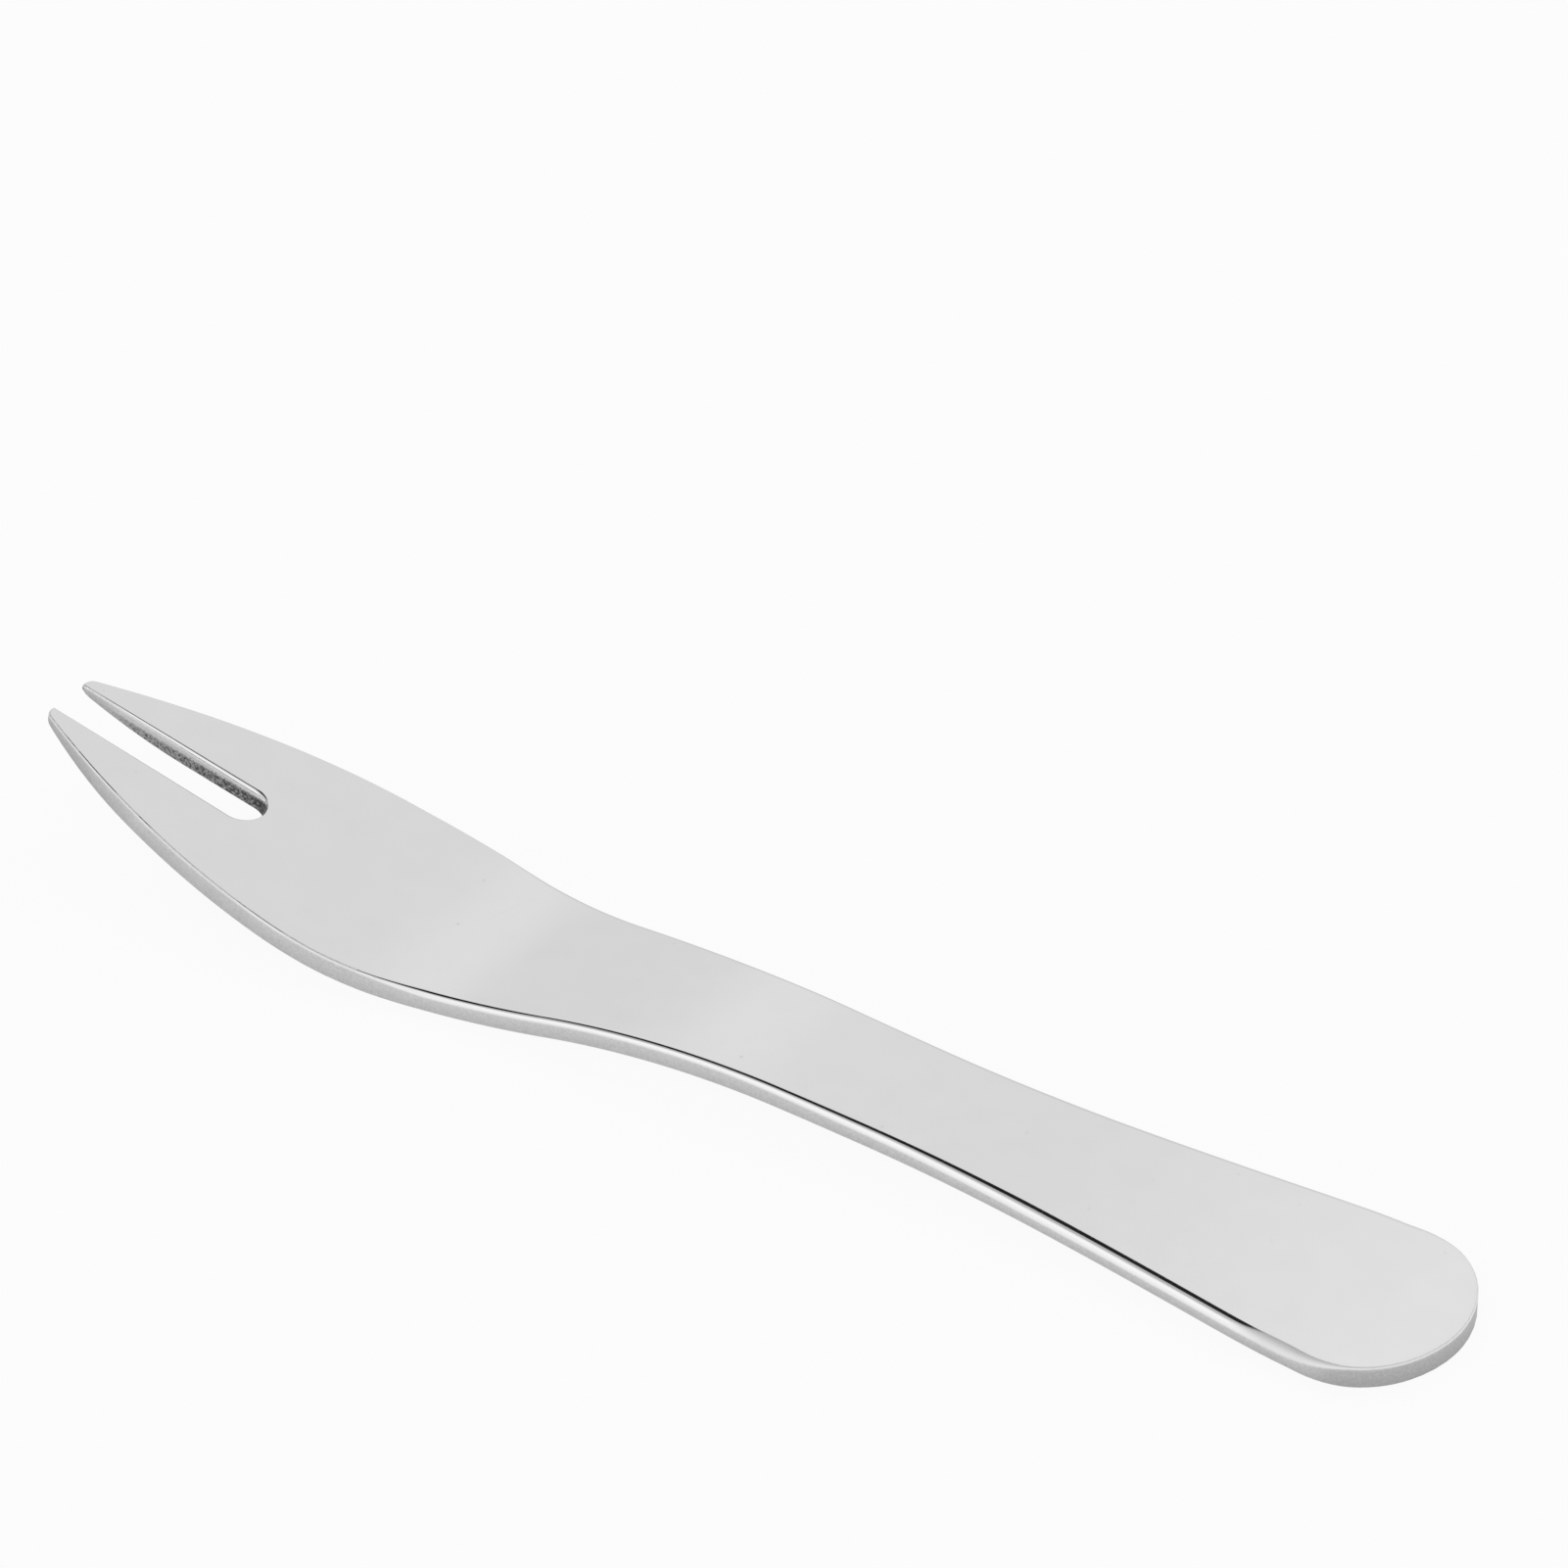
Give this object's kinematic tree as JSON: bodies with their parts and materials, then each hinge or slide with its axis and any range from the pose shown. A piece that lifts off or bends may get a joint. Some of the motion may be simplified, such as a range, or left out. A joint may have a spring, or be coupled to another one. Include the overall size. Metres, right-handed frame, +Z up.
{
  "type": "pastry fork",
  "caption": "Small two-tined pastry fork of polished stainless steel sheet, with a broad flat handle, a waisted neck and a gently dished head.",
  "frame": {"origin": "on the surface that the fork rests on, under the middle of its length and width", "axes": "+X along the fork towards the end of the handle, with the tips of the tines at -X, +Y across the fork, +Z up, out of the hollow side of the head"},
  "size_m": [0.1351, 0.0206, 0.0096],
  "materials": {
    "steel": "stainless steel sheet, blanked and tumbled to a bright polish on its faces and rounded edges, with the sheared grain left inside the slot"
  },
  "bodies": {
    "root": {"fork": "steel"}
  },
  "joints": []
}
